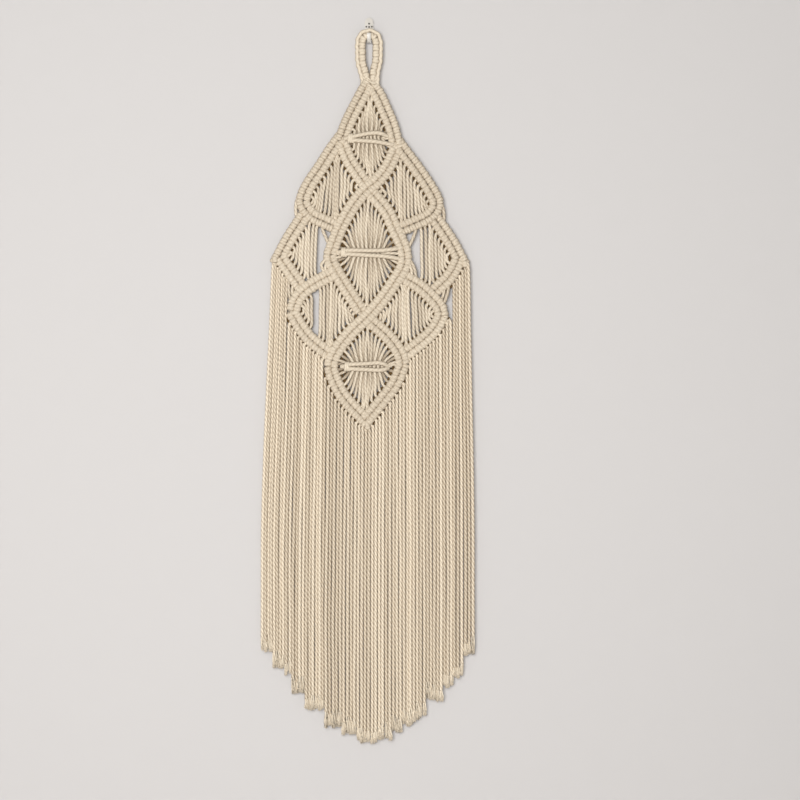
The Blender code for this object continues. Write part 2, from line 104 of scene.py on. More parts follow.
plastic, nodes, links, shader = new_material("white_moulding")
shader.inputs["Base Color"].default_value = PLATE_WHITE
shader.inputs["Coat Weight"].default_value = 0.15
where = nodes.new("ShaderNodeTexCoord")
peel = nodes.new("ShaderNodeTexNoise")
peel.inputs["Scale"].default_value = 900.0
smears = nodes.new("ShaderNodeTexNoise")
smears.inputs["Scale"].default_value = 120.0
gloss = nodes.new("ShaderNodeMapRange")
gloss.inputs["To Min"].default_value = 0.28
gloss.inputs["To Max"].default_value = 0.42
skin = nodes.new("ShaderNodeBump")
skin.inputs["Strength"].default_value = 0.08
skin.inputs["Distance"].default_value = 0.05 * MM
links.new(where.outputs["Object"], peel.inputs["Vector"])
links.new(where.outputs["Object"], smears.inputs["Vector"])
links.new(smears.outputs["Fac"], gloss.inputs["Value"])
links.new(gloss.outputs["Result"], shader.inputs["Roughness"])
links.new(peel.outputs["Fac"], skin.inputs["Height"])
links.new(skin.outputs["Normal"], shader.inputs["Normal"])
plate.data.materials.clear()
plate.data.materials.append(plastic)
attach(plate, "root")
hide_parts("hook_plate")


# Pins. Four fine hardened nails fix the plate to the wall, three in a row and one above them.
# Only their heads show: small dark steel domes, polished by the hammer and dull at the rim.

HEAD_DOME = 0.45            # part of a head's thickness that is domed
HEAD_RIM = 0.2              # how far behind its middle the ball becomes the rim

steel, nodes, links, shader = new_material("pin_steel")
shader.inputs["Metallic"].default_value = 1.0
where = nodes.new("ShaderNodeTexCoord")
tarnish = nodes.new("ShaderNodeTexNoise")
tarnish.inputs["Scale"].default_value = 1500.0
shades = nodes.new("ShaderNodeMix")
shades.data_type = "RGBA"
shades.inputs["A"].default_value = (0.055, 0.050, 0.045, 1.0)
shades.inputs["B"].default_value = (0.14, 0.13, 0.12, 1.0)
polish = nodes.new("ShaderNodeMapRange")
polish.inputs["To Min"].default_value = 0.35
polish.inputs["To Max"].default_value = 0.6
links.new(where.outputs["Object"], tarnish.inputs["Vector"])
links.new(tarnish.outputs["Fac"], shades.inputs["Factor"])
links.new(shades.outputs["Result"], shader.inputs["Base Color"])
links.new(tarnish.outputs["Fac"], polish.inputs["Value"])
links.new(polish.outputs["Result"], shader.inputs["Roughness"])

for number in range(1, 5):
    node = f"hook_pin_{number}"
    low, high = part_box(node)
    middle = (low + high) / 2
    radius, thickness = (high.x - low.x) / 2, high.y - low.y
    head = new_object(f"pin_head_{number}", bpy.data.meshes.new(node + "_dome"))
    work = bmesh.new()
    bmesh.ops.create_uvsphere(work, u_segments=20, v_segments=12, radius=radius)
    for vertex in work.verts:
        # Flat behind, domed in front: the ball's own Z becomes the way out of the wall.
        x, y, z = vertex.co
        lift = max(z, 0.0) / radius * thickness * HEAD_DOME
        rim = thickness * (1 - HEAD_DOME) if z > -HEAD_RIM * radius else 0.0
        vertex.co = (x, -(rim + lift), y)
    bmesh.ops.recalc_face_normals(work, faces=work.faces)
    work.to_mesh(head.data)
    work.free()
    head.location = (middle.x, high.y, middle.z)
    head.data.shade_smooth()
    head.data.materials.append(steel)
    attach(head, "root")
    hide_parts(node)


# Cotton cord. Everything else is one kind of cord: three plies of soft cotton twisted together, 4 to
# 5 mm across. The group colours it by strand and fibre, paints shade into the valleys between plies and
# onto the sides that turn to the next cord, and gives the fibres their small height.

PLIES = 3
CORD_RADIUS = 2.05
CORD_LAY = 20.0             # a ply goes once round the cord in this length
CORD_POINTS = 12
PLY_VALLEY = 0.79           # the cord's radius between two plies, of its full radius
DARKEST_VALLEY = 0.67       # the valley that takes the full painted shade
SIDE_SHADE_POWER = 1.4          # painted shade: how fast a cord darkens as it turns from the front
PLAIN_FIBRES = 0.8          # the noises' sum that leaves the colour as it is
TO_FRONT = np.array([0.0, -1.0, 0.0])

low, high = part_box("fringe_tip")
MIDDLE_Y = (low.y + high.y) / 2

cotton_group = bpy.data.node_groups.new("Cotton fibres and painted shade", "ShaderNodeTree")
for name, kind, value in (
        ("Light", "NodeSocketColor", (0.9, 0.82, 0.7, 1.0)),
        ("Shade colour", "NodeSocketColor", (0.6, 0.5, 0.38, 1.0)),
        ("Strand change", "NodeSocketFloat", 0.2),
        ("Shade depth", "NodeSocketFloat", 0.6),
        ("Fibre change", "NodeSocketFloat", 0.25)):
    socket = cotton_group.interface.new_socket(name, in_out="INPUT", socket_type=kind)
    socket.default_value = value
cotton_group.interface.new_socket("Color", in_out="OUTPUT", socket_type="NodeSocketColor")
cotton_group.interface.new_socket("Height", in_out="OUTPUT", socket_type="NodeSocketFloat")
nodes, links = cotton_group.nodes, cotton_group.links
given = nodes.new("NodeGroupInput")
result = nodes.new("NodeGroupOutput")


def read_attribute(name):
    reader = nodes.new("ShaderNodeAttribute")
    reader.attribute_name = name
    return reader


def math_node(operation, first, second=None):
    node = nodes.new("ShaderNodeMath")
    node.operation = operation
    for socket, value in zip(node.inputs, (first, second)):
        if isinstance(value, bpy.types.NodeSocket):
            links.new(value, socket)
        elif value is not None:
            socket.default_value = value
    return node.outputs["Value"]


place = read_attribute("cord_place")
valley = read_attribute("painted_shade").outputs["Fac"]
tone = read_attribute("cord_tone").outputs["Fac"]
stretch = nodes.new("ShaderNodeVectorMath")
stretch.operation = "MULTIPLY"
stretch.inputs[1].default_value = (1.0, 1.0, 0.12)
fibres = nodes.new("ShaderNodeTexNoise")
fibres.inputs["Scale"].default_value = 5200.0
fibres.inputs["Detail"].default_value = 3.0
slubs = nodes.new("ShaderNodeTexNoise")
slubs.inputs["Scale"].default_value = 420.0
links.new(place.outputs["Vector"], stretch.inputs[0])
links.new(stretch.outputs["Vector"], fibres.inputs["Vector"])
links.new(place.outputs["Vector"], slubs.inputs["Vector"])
strand_part = math_node("MULTIPLY", tone, given.outputs["Strand change"])
lumps = math_node("ADD", fibres.outputs["Fac"], slubs.outputs["Fac"])
uneven = math_node("SUBTRACT", lumps, PLAIN_FIBRES)
fibre_part = math_node("MULTIPLY", uneven, given.outputs["Fibre change"])
# Painted shade: the attribute read above, from the ply valleys and the sides between cords, mixes in the
# deep colour.
shade_part = math_node("MULTIPLY", valley, given.outputs["Shade depth"])
tone_fibres_and_shade = math_node("ADD", math_node("ADD", strand_part, fibre_part), shade_part)
darker = nodes.new("ShaderNodeMix")
darker.data_type = "RGBA"
links.new(tone_fibres_and_shade, darker.inputs["Factor"])
links.new(given.outputs["Light"], darker.inputs["A"])
links.new(given.outputs["Shade colour"], darker.inputs["B"])
links.new(darker.outputs["Result"], result.inputs["Color"])
links.new(lumps, result.inputs["Height"])


def cotton(name, light, deep, strand_change=0.2, shade_depth=0.75):
    """Matt cotton with a soft sheen from its loose fibres, and `deep` the colour of its painted shade
    in the ply valleys and between cords.
    """
    material, nodes, links, shader = new_material(name)
    shader.inputs["Roughness"].default_value = 0.92
    shader.inputs["Specular IOR Level"].default_value = 0.1
    shader.inputs["Sheen Weight"].default_value = 0.08
    shader.inputs["Sheen Roughness"].default_value = 0.6
    group = nodes.new("ShaderNodeGroup")
    group.node_tree = cotton_group
    group.inputs["Light"].default_value = light
    group.inputs["Shade colour"].default_value = deep
    group.inputs["Strand change"].default_value = strand_change
    group.inputs["Shade depth"].default_value = shade_depth
    fuzz = nodes.new("ShaderNodeBump")
    fuzz.inputs["Strength"].default_value = 0.5
    fuzz.inputs["Distance"].default_value = 0.12 * MM
    links.new(group.outputs["Color"], shader.inputs["Base Color"])
    links.new(group.outputs["Height"], fuzz.inputs["Height"])
    links.new(fuzz.outputs["Normal"], shader.inputs["Normal"])
    return material


def unit(vectors):
    return vectors / np.maximum(np.linalg.norm(vectors, axis=-1, keepdims=True), 1e-12)


def lengths_along(points):
    return np.concatenate([[0.0], np.cumsum(np.linalg.norm(np.diff(points, axis=0), axis=1))])


def values_at(places, length, values):
    return np.column_stack([np.interp(places, length, column) for column in values.T])


SPAN_STEPS = 12             # fine steps between two given points


def smooth_line(points, spacing):
    """Even points, about `spacing` apart, on a smooth curve through the given ones."""
    knots = np.asarray(points, float)
    knots = np.vstack([2 * knots[0] - knots[1], knots, 2 * knots[-1] - knots[-2]])
    t = np.linspace(0.0, 1.0, SPAN_STEPS, endpoint=False)[:, None]
    spans = [0.5 * (2 * b + (c - a) * t + (2 * a - 5 * b + 4 * c - d) * t ** 2
                    + (3 * b - a - 3 * c + d) * t ** 3)
             for a, b, c, d in zip(knots, knots[1:], knots[2:], knots[3:])]
    fine = np.vstack(spans + [knots[-2:-1]])
    length = lengths_along(fine)
    even = np.linspace(0.0, length[-1], max(2, round(length[-1] / spacing)) + 1)
    return values_at(even, length, fine)


def side_directions(line):
    """At each point of a line that runs down, the direction to its right."""
    along = unit(np.gradient(line, axis=0))
    return np.column_stack([along[:, 1], -along[:, 0]])


def in_space(line, out):
    """(across, down) and the distance out of the hanging's middle, as places in metres."""
    across, down = line[:, 0], line[:, 1]
    return np.column_stack([across * MM, MIDDLE_Y - np.broadcast_to(out, across.shape) * MM, -down * MM])


def cord_rings(path, radius=CORD_RADIUS, lay=CORD_LAY, phase=0.0, outward=TO_FRONT, flat=(1.0, 1.0),
               points=CORD_POINTS, valley=PLY_VALLEY, dark=1.0, tone=0.5):
    """Rings of points round a path in space, for a cord of three plies. `flat` presses it in the
    outward direction and spreads it sideways, and `dark` is how much painted shade its sides take.
    Its valleys between plies are painted with shade as well."""
    tangent = unit(np.gradient(path, axis=0))
    outward = np.broadcast_to(outward, path.shape)
    normal = unit(outward - (outward * tangent).sum(1, keepdims=True) * tangent)
    side = np.cross(tangent, normal)
    length = lengths_along(path)
    around = np.linspace(0.0, 2 * math.pi, points, endpoint=False)
    ply = valley + (1 - valley) * np.abs(np.cos(PLIES / 2 * around))
    angle = around[None, :] + (phase - 2 * math.pi * length / (lay * MM))[:, None]
    reach = ply[None, :] * np.broadcast_to(radius, length.shape)[:, None] * MM
    up, over = np.cos(angle) * reach, np.sin(angle) * reach
    ring = (path[:, None, :] + (up * flat[0])[..., None] * normal[:, None, :]
            + (over * flat[1])[..., None] * side[:, None, :])
    straight = np.stack([up, over, np.broadcast_to(length[:, None], up.shape)], axis=-1)
    # Painted shade: the ply valleys and the sides that turn from the front take the deep colour.
    depth = (1.0 - ply) / (1.0 - DARKEST_VALLEY)
    facing = np.abs(np.cos(angle) * normal[:, None, 1] + np.sin(angle) * side[:, None, 1])
    pressed = dark * (1.0 - facing) ** SIDE_SHADE_POWER
    return {"ring": ring, "straight": straight + tone, "valley": 1.0 - (1.0 - depth) * (1.0 - pressed),
            "tone": np.full(up.shape, tone)}


def cord_piece(name, cords, material, *replaced):
    """One mesh of many closed cords, riding on the hanging in place of CAD solids."""
    points, faces, base = [], [], 0
    for cord in cords:
        rings, count = cord["ring"].shape[:2]
        index = base + np.arange(rings * count).reshape(rings, count)
        after = np.roll(index, -1, axis=1)
        quads = np.stack([index[:-1], after[:-1], after[1:], index[1:]], axis=-1).reshape(-1, 4)
        faces += quads.tolist()
        faces += [index[0][::-1].tolist(), index[-1].tolist()]
        points.append(cord["ring"].reshape(-1, 3))
        base += rings * count
    mesh = bpy.data.meshes.new(name)
    mesh.from_pydata(np.vstack(points).tolist(), [], faces)
    for attribute, key, kind, field in (
            ("cord_place", "straight", "FLOAT_VECTOR", "vector"),
            ("painted_shade", "valley", "FLOAT", "value"),
            ("cord_tone", "tone", "FLOAT", "value")):
        values = np.concatenate([cord[key].reshape(-1) for cord in cords]).astype(np.float32)
        mesh.attributes.new(attribute, kind, "POINT").data.foreach_set(field, values)
    mesh.shade_smooth()
    mesh.materials.append(material)
    piece = new_object(name, mesh)
    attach(piece, "root")
    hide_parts(*replaced)


# Hanging loop. A bundle of cords bent over the hook and covered with lark's head knots: the knots
# lie across the bundle, and the cord they are tied with runs along its outer edge.

LOOP_PATH = (
    (-4.3, 76.0), (-4.3, 70.0), (-7.8, 57.0), (-11.0, 45.0), (-11.5, 30.0), (-11.4, 17.0),
    (-8.1, 8.9), (0.1, 5.6), (8.4, 8.9), (11.7, 17.0), (11.8, 30.0), (11.2, 45.0), (8.2, 57.0),
    (7.3, 70.0), (7.3, 76.0),
)
LOOP_COIL_INSET = 2.0       # from the loop's line in to the middle of its knots
LOOP_COIL_HALF = (3.4, 2.8)  # half their width and half their depth
LOOP_COIL_PITCH = 4.3       # from one turn to the next
LOOP_COIL_SQUEEZE = 0.13
LOOP_BUNDLE = ((-1.0, 0.6), (1.0, -0.6))  # across and out, for each cord inside the knots
LOOP_SPINE_OUTSET = 4.9     # and out to the cord along its edge
LOOP_SPINE_RADIUS = 2.8
LOOP_SPINE_WAVE = 0.5
LOOP_NECK_NARROWING = 0.28  # how much narrower the legs are where they meet
LOOP_NECK_PART = 0.125      # over this part of the loop from each end
# Cords that cross between the loop and the two roof bars: (across, down, out) for each point.
NECK_CORDS = (
    ((-8.5, 62.0, 0.0), (-6.5, 69.0, 2.2), (-1.5, 75.5, 3.0), (3.5, 81.0, 1.0), (6.0, 85.0, -2.0)),
    ((-3.0, 60.0, 0.0), (-1.5, 67.0, 2.4), (3.0, 73.5, 2.8), (8.0, 79.0, 1.0), (10.5, 83.0, -2.0)),
    ((11.5, 62.0, 0.0), (9.5, 69.0, 1.4), (4.0, 75.5, -0.6), (-2.5, 81.5, 0.0), (-5.0, 85.0, -2.0)),
    ((6.0, 60.0, 0.0), (4.0, 67.0, 0.6), (-1.5, 73.5, -0.8), (-7.0, 79.0, 0.0), (-9.5, 83.0, -2.0)),
)
NECK_RADIUS = 2.5
FINE_STEP = 1.0             # spacing of points along lines and cords
BUNDLE_STEP = 3.0
CORD_STEP = 1.75
NECK_STEP = 1.6

COIL_STEPS = 11             # points in one turn
CROSS_SQUARE = 0.19         # how far a turn's two sides are shifted, so it crosses square
TURN_SQUARE = 0.8           # below 1 a turn is squarer than an ellipse
TURN_SWELL = 0.11           # how much wider and narrower they are, one after the other
TUCK_REACH = 9.0            # how far from its end a row starts to be pushed back
WRAP_FLAT = (0.92, 1.48)    # a wound cord is pressed against the bundle and spreads sideways
WRAP_VALLEY = 0.95          # and its plies hardly show

CREAM = ((0.845, 0.755, 0.62, 1.0), (0.15, 0.09, 0.035, 1.0))  # lit, and the painted shade between cords
loop_cotton = cotton("loop_cotton", *CREAM)


def coil(line, pitch, half_width, half_depth, hand, squeeze=0.08, taper=None, tucks=(0.0, 0.0)):
    """A cord wound round a line, two turns to each knot, with the way out of the line at each point.
    It crosses the front nearly square to the line and moves on behind, to the left for `hand` 1.
    `squeeze` draws a knot's two turns together, and `tucks` is how far each end is pushed back,
    where the bar passes under another."""
    length = lengths_along(line)
    turns = length[-1] / pitch
    turn = np.linspace(0.0, turns, round(turns * COIL_STEPS) + 1)
    angle = 2 * math.pi * turn * hand
    moved = turn + squeeze * np.sin(math.pi * turn) + CROSS_SQUARE * hand * np.cos(angle)
    along = np.clip(pitch * moved, 0.0, length[-1])
    centre = values_at(along, length, line)
    side = unit(values_at(along, length, side_directions(line)))
    width = half_width * (1.0 - TURN_SWELL * np.cos(math.pi * turn))
    if taper:
        width = width * taper(along / length[-1])
    left_over = length[-1] - along
    pushed = tucks[0] * np.exp(-along / TUCK_REACH) + tucks[1] * np.exp(-left_over / TUCK_REACH)
    round_over, round_out = np.cos(angle), np.sin(angle)
    over, out = (np.sign(part) * np.abs(part) ** TURN_SQUARE for part in (round_over, round_out))
    path = in_space(centre + side * (width * over)[:, None], half_depth * out - pushed)
    flat_side = np.column_stack([side[:, 0], np.zeros(len(side)), -side[:, 1]])
    outward = flat_side * round_over[:, None] + TO_FRONT * round_out[:, None]
    return path, outward


def path_through(places, spacing):
    """A smooth path in space through (across, down, out) places."""
    route = smooth_line(places, spacing)
    return in_space(route[:, :2], route[:, 2])


def narrow_ends(part):
    """The loop's two legs are pressed together where they meet."""
    from_end = np.minimum(part, 1.0 - part)
    return 1.0 - LOOP_NECK_NARROWING * np.clip(1.0 - from_end / LOOP_NECK_PART, 0.0, 1.0)


loop_line = smooth_line(LOOP_PATH, FINE_STEP)
loop_out = side_directions(loop_line)
coil_line = loop_line - LOOP_COIL_INSET * loop_out
path, outward = coil(coil_line, LOOP_COIL_PITCH, *LOOP_COIL_HALF, hand=1,
                     squeeze=LOOP_COIL_SQUEEZE, taper=narrow_ends)
cords = [cord_rings(path, outward=outward, flat=WRAP_FLAT, valley=WRAP_VALLEY, tone=0.4)]
for offset, out in LOOP_BUNDLE:
    bundle = smooth_line(coil_line + offset * loop_out, BUNDLE_STEP)
    cords.append(cord_rings(in_space(bundle, out), tone=0.6))
wave = LOOP_SPINE_WAVE * np.sin(lengths_along(loop_line) * math.pi / LOOP_COIL_PITCH)
spine = smooth_line(loop_line + (LOOP_SPINE_OUTSET + wave)[:, None] * loop_out, CORD_STEP)
cords.append(cord_rings(in_space(spine, 0.4), radius=LOOP_SPINE_RADIUS, valley=0.96, tone=0.3))
for number, places in enumerate(NECK_CORDS):
    path = path_through(places, NECK_STEP)
    cords.append(cord_rings(path, radius=NECK_RADIUS, phase=number, tone=0.3))
cord_piece("hanging_loop_knots", cords, loop_cotton, "hanging_loop")


# Knot rows. Each bar of the lattice is two rows of double half hitches side by side: every hanging
# cord is wound twice round a stiffer holding cord. Along the lower edges only the inner row is the
# panel's, and the outer one carries the fringe.

# Line between the two rows of each bar: (across, down). An "over" bar passes over the one it meets.
BAR_LINES = {
    "roof_1_left": ((-0.5, 75.5), (-7.0, 86.8), (-18.9, 109.2), (-29.2, 130.0), (-38.5, 155.0)),
    "roof_1_right": ((1.5, 75.0), (11.9, 89.6), (22.3, 112.0), (32.2, 136.6), (38.8, 166.0)),
    "over_1_left": ((-37.5, 157.0), (-29.4, 179.2), (-20.3, 193.9), (-4.5, 216.5)),
    "over_1_right": ((38.0, 168.0), (26.6, 191.8), (11.2, 211.4), (-4.2, 224.0), (-21.7, 245.0),
                     (-39.8, 276.4), (-51.5, 306.6), (-54.2, 317.0), (-50.4, 330.0), (-30.9, 362.6),
                     (-11.5, 392.5)),
    "over_2_right": ((3.5, 228.5), (25.2, 254.1), (36.3, 278.6), (47.0, 302.1), (50.3, 321.0),
                     (45.9, 336.4), (21.7, 373.2), (-1.0, 400.0), (-22.0, 420.0), (-40.0, 441.0),
                     (-51.0, 460.0), (-53.3, 472.0)),
    "over_2_left": ((4.5, 409.5), (21.0, 423.5), (34.2, 438.1), (44.4, 454.2), (47.3, 468.0)),
    "roof_2_left": ((-40.0, 152.0), (-52.5, 169.4), (-67.2, 192.5), (-83.3, 216.3), (-91.7, 235.2),
                    (-89.8, 247.5), (-78.4, 260.4), (-64.4, 267.0), (-45.5, 276.0)),
    "roof_2_right": ((40.0, 158.0), (49.7, 171.5), (66.5, 193.9), (85.4, 221.9), (94.4, 240.8),
                     (91.0, 253.5), (81.2, 262.3), (64.2, 270.3), (43.0, 279.0)),
    "roof_3_left": ((-88.5, 257.0), (-100.8, 275.8), (-109.9, 289.8), (-119.0, 306.0), (-123.6, 315.0)),
    "roof_3_right": ((93.0, 264.5), (108.5, 287.0), (117.2, 301.0), (125.5, 317.0)),
    "corner_left": ((-125.2, 317.8), (-128.4, 323.4)),
    "corner_right": ((127.2, 320.2), (130.4, 326.2)),
    "cheek_left": ((-45.5, 339.0), (-66.4, 349.2), (-87.8, 362.6), (-100.7, 376.5), (-106.8, 395.0)),
    "cheek_right": ((45.0, 343.8), (69.9, 358.3), (88.6, 375.3), (98.8, 388.0), (101.4, 400.0)),
    "wing_left": ((-124.2, 317.0), (-120.5, 324.0), (-111.3, 336.8), (-94.0, 361.0)),
    "wing_right": ((126.0, 319.0), (121.5, 330.5), (111.7, 346.5), (93.5, 364.0)),
    "side_left": ((-107.0, 396.0), (-97.4, 412.9), (-84.6, 430.1), (-68.6, 443.9), (-54.0, 455.0)),
    "side_right": ((101.2, 400.5), (93.4, 416.1), (78.4, 432.2), (49.5, 455.0)),
    "tip_left": ((-53.2, 473.0), (-50.4, 484.1), (-39.8, 506.7), (-24.8, 525.8), (-4.5, 546.0)),
    "tip_right": ((47.2, 469.0), (36.3, 494.9), (20.3, 516.3), (2.0, 538.7), (-4.5, 546.0)),
}
LINE_STEP = 2.0             # spacing of points along a row, and along hidden cords
HIDDEN_STEP = 4.0
HIDDEN_POINTS = 8

# Pitch of a row's turns, offset of its middle from the bar's, and how much painted shade its turns'
# sides take. Inner rows are tight. Those of an outer edge are rounder and stand off, and take more
# painted shade at their sides, for the darker seam.
RowKind = namedtuple("RowKind", "pitch offset dark")
INNER = RowKind(pitch=4.7, offset=4.82, dark=0.3)
RIM = RowKind(pitch=4.15, offset=5.1, dark=0.65)
ROW_HALF = (3.52, 3.35)     # half width and half depth of a row
UNDER = 3.2                 # how far a bar is pushed back under another
UNDER_REACH = 3.5           # and how far it goes on beneath
# Rows of the panel: the lines that each follows, its side of them, the hand of its turns, its kind,
# and whether its first and last end pass under another bar.
PANEL_ROWS = {
    "knot_rows_upper": (
        (("roof_1_left",), -1, 1, RIM, False, False),
        (("roof_1_left",), 1, 1, INNER, True, True),
        (("roof_1_right",), 1, -1, RIM, True, False),
        (("roof_1_right",), -1, -1, INNER, True, True),
        (("over_1_left",), -1, -1, INNER, True, True),
        (("over_1_left",), 1, -1, INNER, False, True),
        (("over_1_right",), -1, 1, INNER, False, True),
        (("over_1_right",), 1, 1, INNER, True, True),
        (("roof_2_left",), -1, 1, RIM, True, True),
        (("roof_2_left",), 1, 1, INNER, True, True),
        (("roof_2_right",), 1, -1, RIM, True, True),
        (("roof_2_right",), -1, -1, INNER, True, True),
    ),
    "knot_rows_lower": (
        (("over_2_right", "tip_left"), 1, 1, INNER, True, True),
        (("over_2_right",), -1, 1, INNER, True, False),
        (("over_2_left", "tip_right"), -1, -1, INNER, True, False),
        (("over_2_left",), 1, -1, INNER, True, False),
        (("roof_3_left", "wing_left"), 1, 1, INNER, True, True),
        (("roof_3_left", "corner_left"), -1, 1, RIM, True, True),
        (("roof_3_right", "wing_right"), -1, -1, INNER, True, True),
        (("roof_3_right", "corner_right"), 1, -1, RIM, True, True),
        (("cheek_left", "side_left"), 1, 1, INNER, True, True),
        (("cheek_left",), -1, 1, INNER, True, False),
        (("cheek_right", "side_right"), -1, -1, INNER, True, True),
        (("cheek_right",), 1, -1, INNER, True, False),
    ),
}

random = np.random.default_rng(5)
panel_cotton = cotton("panel_cotton", *CREAM)


def reach_under(line, first, last):
    """The line of a row, with an end that passes under another bar going on beneath it."""
    before = line[:1] + unit(line[:1] - line[1:2]) * UNDER_REACH
    after = line[-1:] + unit(line[-1:] - line[-2:-1]) * UNDER_REACH
    return smooth_line(np.vstack([before] * first + [line] + [after] * last), LINE_STEP)


def row_line(names, side, kind, first_under, last_under):
    """Middle line of one knot row, beside the line between a bar's two rows."""
    points = [point for name in names for point in BAR_LINES[name]]
    line = smooth_line(points, LINE_STEP)
    line = smooth_line(line + side * kind.offset * side_directions(line), LINE_STEP)
    return reach_under(line, first_under, last_under)


def knot_row(line, hand, kind, first_under, last_under):
    """The wound cord and the holding cord of one row."""
    tucks = (UNDER * first_under, UNDER * last_under)
    path, outward = coil(line, kind.pitch, *ROW_HALF, hand=hand, tucks=tucks)
    stretch = kind.pitch / INNER.pitch
    tone = random.uniform(0.7, 1.1)
    wound = cord_rings(path, outward=outward, flat=(WRAP_FLAT[0], WRAP_FLAT[1] * stretch),
                       phase=random.uniform(0, 6), valley=WRAP_VALLEY, dark=kind.dark, tone=tone)
    holding = in_space(smooth_line(line, HIDDEN_STEP), 0.0)
    return [wound, cord_rings(holding, tone=tone, points=HIDDEN_POINTS)]


for name, rows in PANEL_ROWS.items():
    cords = []
    for names, side, hand, kind, first_under, last_under in rows:
        line = row_line(names, side, kind, first_under, last_under)
        cords += knot_row(line, hand, kind, first_under, last_under)
    cord_piece(name, cords, panel_cotton, "knotted_panel")


# Hanging cords. Between two bars the cords hang free, side by side. Each leaves its knot square to
# the bar, bends down, and goes square into the bar below.

# How many cords, and for the upper and the lower bar: its name, its side, and the first and last
# cord's place down along it.
HANGING_CORDS = (
    (9, ("roof_2_left", 1, 171.0, 228.0), ("roof_2_left", 1, 273.5, 249.5)),
    (7, ("over_1_left", -1, 169.0, 210.0), ("over_1_right", -1, 271.0, 230.0)),
    (9, ("roof_2_right", -1, 177.0, 233.0), ("roof_2_right", -1, 276.5, 255.0)),
    (7, ("over_1_right", 1, 179.0, 217.0), ("over_2_right", 1, 273.0, 235.0)),
    (6, ("roof_3_left", 1, 271.5, 305.0), ("wing_left", 1, 353.0, 323.0)),
    (3, ("roof_2_left", -1, 265.0, 261.4), ("cheek_left", -1, 351.0, 356.5)),
    (6, ("roof_3_right", -1, 272.5, 307.0), ("wing_right", -1, 360.0, 332.0)),
    (3, ("roof_2_right", 1, 268.5, 263.5), ("cheek_right", 1, 356.6, 364.0)),
    (4, ("cheek_left", 1, 345.0, 353.5), ("side_left", 1, 450.0, 437.5)),
    (4, ("cheek_left", 1, 363.0, 381.5), ("side_left", 1, 423.0, 404.0)),
    (7, ("over_1_right", -1, 345.0, 381.0), ("over_2_right", -1, 450.0, 414.0)),
    (9, ("cheek_right", -1, 349.0, 387.0), ("side_right", -1, 447.5, 407.0)),
    (7, ("over_2_right", 1, 346.0, 381.0), ("over_2_left", 1, 448.0, 417.0)),
)
# Short loose cords from one bar to the next, at the crossings and outside the shoulders, and one
# between the two runs of the middle tie: (across, down, out).
LOOSE_CORDS = (
    ((-66.0, 273.0, -1.0), (-64.5, 281.0, 0.6), (-60.5, 290.0, 0.8), (-57.5, 299.0, -1.0)),
    ((67.0, 273.0, -1.0), (65.0, 282.0, 0.6), (60.5, 294.0, 0.8), (55.5, 305.0, -1.0)),
    ((-56.0, 318.0, -1.0), (-62.0, 323.0, 1.4), (-66.5, 329.0, 1.4), (-64.0, 337.0, 0.6),
     (-60.0, 345.0, -1.0)),
    ((-56.0, 323.0, 0.0), (-60.0, 329.0, 2.4), (-61.0, 336.0, 1.6), (-57.5, 343.0, -1.0)),
    ((55.0, 319.0, -1.0), (60.5, 327.0, 1.4), (64.5, 338.0, 1.0), (66.0, 352.0, -1.0)),
    ((54.0, 325.0, 0.0), (58.0, 332.0, 2.2), (60.0, 340.0, 1.0), (59.0, 350.0, -1.0)),
    ((-112.0, 350.0, -1.0), (-112.5, 358.0, 0.4), (-112.0, 368.0, 0.2), (-110.0, 379.0, -2.0)),
    ((-106.5, 356.0, -1.0), (-107.5, 363.0, 0.6), (-107.0, 370.0, 0.2), (-105.0, 377.0, -2.0)),
    ((112.0, 355.0, -1.0), (110.5, 366.0, 0.8), (107.5, 376.0, 0.4), (104.0, 386.0, -2.0)),
    ((106.0, 361.0, -1.0), (104.5, 369.0, 0.6), (102.0, 377.0, -2.0)),
    ((-14.0, 393.0, -3.0), (-21.0, 396.0, -2.4), (-23.0, 402.0, -2.2), (-20.0, 410.0, -3.0)),
    ((-19.0, 389.0, -3.0), (-26.0, 393.0, -1.6), (-27.5, 400.0, -1.4), (-25.0, 410.0, -3.0)),
    ((7.0, 393.0, -3.0), (14.0, 395.0, -2.4), (16.5, 401.0, -2.2), (12.0, 411.0, -3.0)),
    ((12.0, 388.0, -3.0), (19.0, 392.0, -1.6), (21.0, 399.0, -1.4), (18.0, 412.0, -3.0)),
    ((18.0, 312.6, 2.0), (26.0, 312.7, 3.6), (36.0, 313.0, 3.2), (46.0, 313.4, 0.0)),
    ((-97.0, 229.0, -2.0), (-101.5, 240.0, -0.8), (-102.5, 253.0, -0.8), (-101.0, 267.0, -2.0)),
    ((98.0, 236.0, -2.0), (103.0, 247.0, -0.8), (105.0, 259.0, -0.8), (104.5, 273.0, -2.0)),
)
# Corners between two bars where the knots' backs fill the hole, painted dark as the shade in it: across,
# and down from and to.
DARK_CORNERS = (
    (-18.5, 391.0, 408.0), (14.0, 391.0, 408.0), (-17.5, 213.0, 228.0), (17.0, 215.0, 229.0),
    (113.0, 308.0, 328.0), (-110.0, 306.0, 326.0), (-95.5, 383.0, 399.0), (91.0, 388.0, 406.0),
    (-82.0, 229.0, 247.0), (84.0, 234.0, 251.0), (-44.0, 304.0, 326.0), (43.0, 304.0, 326.0),
    (-43.5, 462.0, 480.0), (39.0, 462.0, 480.0), (-29.0, 143.0, 163.0), (31.0, 146.0, 166.0),
    (-39.0, 296.0, 330.0), (38.0, 296.0, 330.0), (-34.5, 290.0, 336.0), (33.5, 290.0, 336.0),
    (-38.0, 454.0, 489.0), (34.0, 452.0, 489.0), (-33.0, 448.0, 495.0), (29.0, 446.0, 495.0),
    (-21.0, 209.0, 228.0), (21.5, 210.0, 229.0),
)
HANGING_RADIUS = 2.65
HANGING_VALLEY = 0.86
